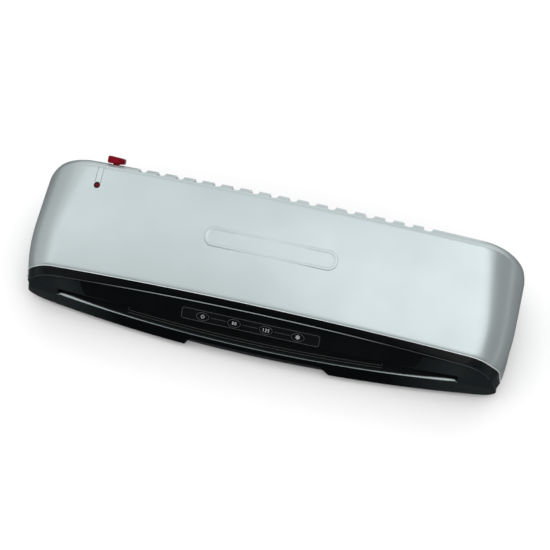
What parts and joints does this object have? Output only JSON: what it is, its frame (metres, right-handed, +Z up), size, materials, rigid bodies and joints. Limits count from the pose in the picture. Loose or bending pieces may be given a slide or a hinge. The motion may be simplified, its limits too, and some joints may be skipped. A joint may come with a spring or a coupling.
{
  "type": "pouch laminator",
  "caption": "Desktop pouch laminator with heated roller pairs, push-button controls, a front feed slot and a rear roller release lever.",
  "frame": {"origin": "on the table under the middle of the machine's footprint", "axes": "+X to the operator's right along the machine's width, -Y towards the operator who feeds pouches in, +Z up"},
  "size_m": [0.437, 0.1312, 0.096],
  "materials": {
    "silver_cover": "silver-grey satin paint on moulded plastic",
    "black_gloss": "polished black",
    "black_matt": "fine spark-eroded texture",
    "red_tint": "deep red, slightly translucent",
    "steel": "zinc-plated",
    "silicone": "matt silicone",
    "acetal": "natural white",
    "aluminium": "mill finish",
    "foot_rubber": "matt",
    "circuit_board": "green solder mask",
    "bronze": "sintered",
    "winding": "varnished winding"
  },
  "bodies": {
    "housing": {"top_cover": "silver_cover", "front_panel": "black_gloss", "control_overlay": "black_gloss", "control_board": "circuit_board", "rear_panel": "black_matt", "base_tray": "black_matt", "foot_front_left": "foot_rubber", "foot_front_right": "foot_rubber", "foot_rear_left": "foot_rubber", "foot_rear_right": "foot_rubber", "chassis_screw_front_left": "steel", "chassis_screw_front_right": "steel", "chassis_screw_rear_left": "steel", "chassis_screw_rear_right": "steel", "feed_tray": "black_gloss", "entry_guide_upper": "black_matt", "exit_guide": "black_matt", "side_plate_left": "steel", "side_plate_right": "steel", "front_tie_bar": "steel", "middle_tie_bar": "steel", "bush_feed_left": "bronze", "bush_feed_right": "bronze", "bush_pull_left": "bronze", "bush_pull_right": "bronze", "spring_feed_left": "steel", "spring_feed_right": "steel", "spring_pull_left": "steel", "spring_pull_right": "steel", "heater_plate_lower": "aluminium", "heater_plate_upper": "aluminium", "gear_motor": "steel", "power_board": "circuit_board", "transformer": "winding", "mains_switch_frame": "black_matt", "power_inlet": "black_matt", "indicator_lens": "red_tint"},
    "feed_lower": {"feed_roller_lower_shaft": "steel", "feed_roller_lower_sleeve": "silicone", "feed_gear_lower": "acetal"},
    "pull_lower": {"pull_roller_lower_shaft": "steel", "pull_roller_lower_sleeve": "silicone", "pull_gear_lower": "acetal"},
    "idler": {"idler_gear": "acetal"},
    "pinion": {"motor_pinion": "acetal"},
    "carriage": {"bearing_block_left": "acetal", "bearing_block_right": "acetal"},
    "feed_upper": {"feed_roller_upper_shaft": "steel", "feed_roller_upper_sleeve": "silicone", "feed_gear_upper": "acetal"},
    "pull_upper": {"pull_roller_upper_shaft": "steel", "pull_roller_upper_sleeve": "silicone", "pull_gear_upper": "acetal"},
    "release": {"release_shaft": "steel", "release_lever": "red_tint"},
    "button_off_key": {"button_off": "black_matt"},
    "button_thin_key": {"button_thin": "black_matt"},
    "button_thick_key": {"button_thick": "black_matt"},
    "button_cold_key": {"button_cold": "black_matt"},
    "rocker": {"mains_switch_rocker": "red_tint"}
  },
  "joints": [
    {"name": "drive_spin", "type": "hinge", "parent": "housing", "child": "feed_lower", "pos_m": [0, -0.006, 0.02], "axis": [1, 0, 0], "continuous": true},
    {"name": "pull_lower_spin", "type": "hinge", "parent": "housing", "child": "pull_lower", "pos_m": [0, 0.038, 0.02], "axis": [1, 0, 0], "continuous": true},
    {"name": "idler_spin", "type": "hinge", "parent": "housing", "child": "idler", "pos_m": [0, 0.016, 0.02], "axis": [1, 0, 0], "continuous": true},
    {"name": "pinion_spin", "type": "hinge", "parent": "housing", "child": "pinion", "pos_m": [0, -0.023, 0.02], "axis": [1, 0, 0], "continuous": true},
    {"name": "release_turn", "type": "hinge", "parent": "housing", "child": "release", "pos_m": [0, 0.016, 0.058], "axis": [-1, 0, 0], "range_deg": [0, 28]},
    {"name": "carriage_lift", "type": "slide", "parent": "housing", "child": "carriage", "axis": [0, 0, 1], "range_m": [0, 0.001], "deforming": ["spring_feed_left", "spring_feed_right", "spring_pull_left", "spring_pull_right"]},
    {"name": "feed_upper_spin", "type": "hinge", "parent": "carriage", "child": "feed_upper", "pos_m": [0, -0.006, 0.04], "axis": [1, 0, 0], "continuous": true},
    {"name": "pull_upper_spin", "type": "hinge", "parent": "carriage", "child": "pull_upper", "pos_m": [0, 0.038, 0.04], "axis": [1, 0, 0], "continuous": true},
    {"name": "button_off_press", "type": "slide", "parent": "housing", "child": "button_off_key", "axis": [0, 0.7498, -0.6616], "range_m": [0, 0.0008], "stiffness_N_per_m": 150, "springref_m": -0.001},
    {"name": "button_thin_press", "type": "slide", "parent": "housing", "child": "button_thin_key", "axis": [0, 0.7498, -0.6616], "range_m": [0, 0.0008], "stiffness_N_per_m": 150, "springref_m": -0.001},
    {"name": "button_thick_press", "type": "slide", "parent": "housing", "child": "button_thick_key", "axis": [0, 0.7498, -0.6616], "range_m": [0, 0.0008], "stiffness_N_per_m": 150, "springref_m": -0.001},
    {"name": "button_cold_press", "type": "slide", "parent": "housing", "child": "button_cold_key", "axis": [0, 0.7498, -0.6616], "range_m": [0, 0.0008], "stiffness_N_per_m": 150, "springref_m": -0.001},
    {"name": "rocker_tilt", "type": "hinge", "parent": "housing", "child": "rocker", "pos_m": [-0.171, 0.0608, 0.033], "axis": [0, 0, -1], "range_deg": [0, 16]}
  ],
  "couplings": [
    {"joint": "pull_lower_spin", "follows": "drive_spin", "ratio": 1},
    {"joint": "idler_spin", "follows": "drive_spin", "ratio": -0.83333},
    {"joint": "pinion_spin", "follows": "drive_spin", "ratio": -1.4286},
    {"joint": "feed_upper_spin", "follows": "drive_spin", "ratio": -1},
    {"joint": "pull_upper_spin", "follows": "drive_spin", "ratio": -1},
    {"joint": "release_turn", "follows": "carriage_lift", "rad_per_m": 488.69}
  ]
}
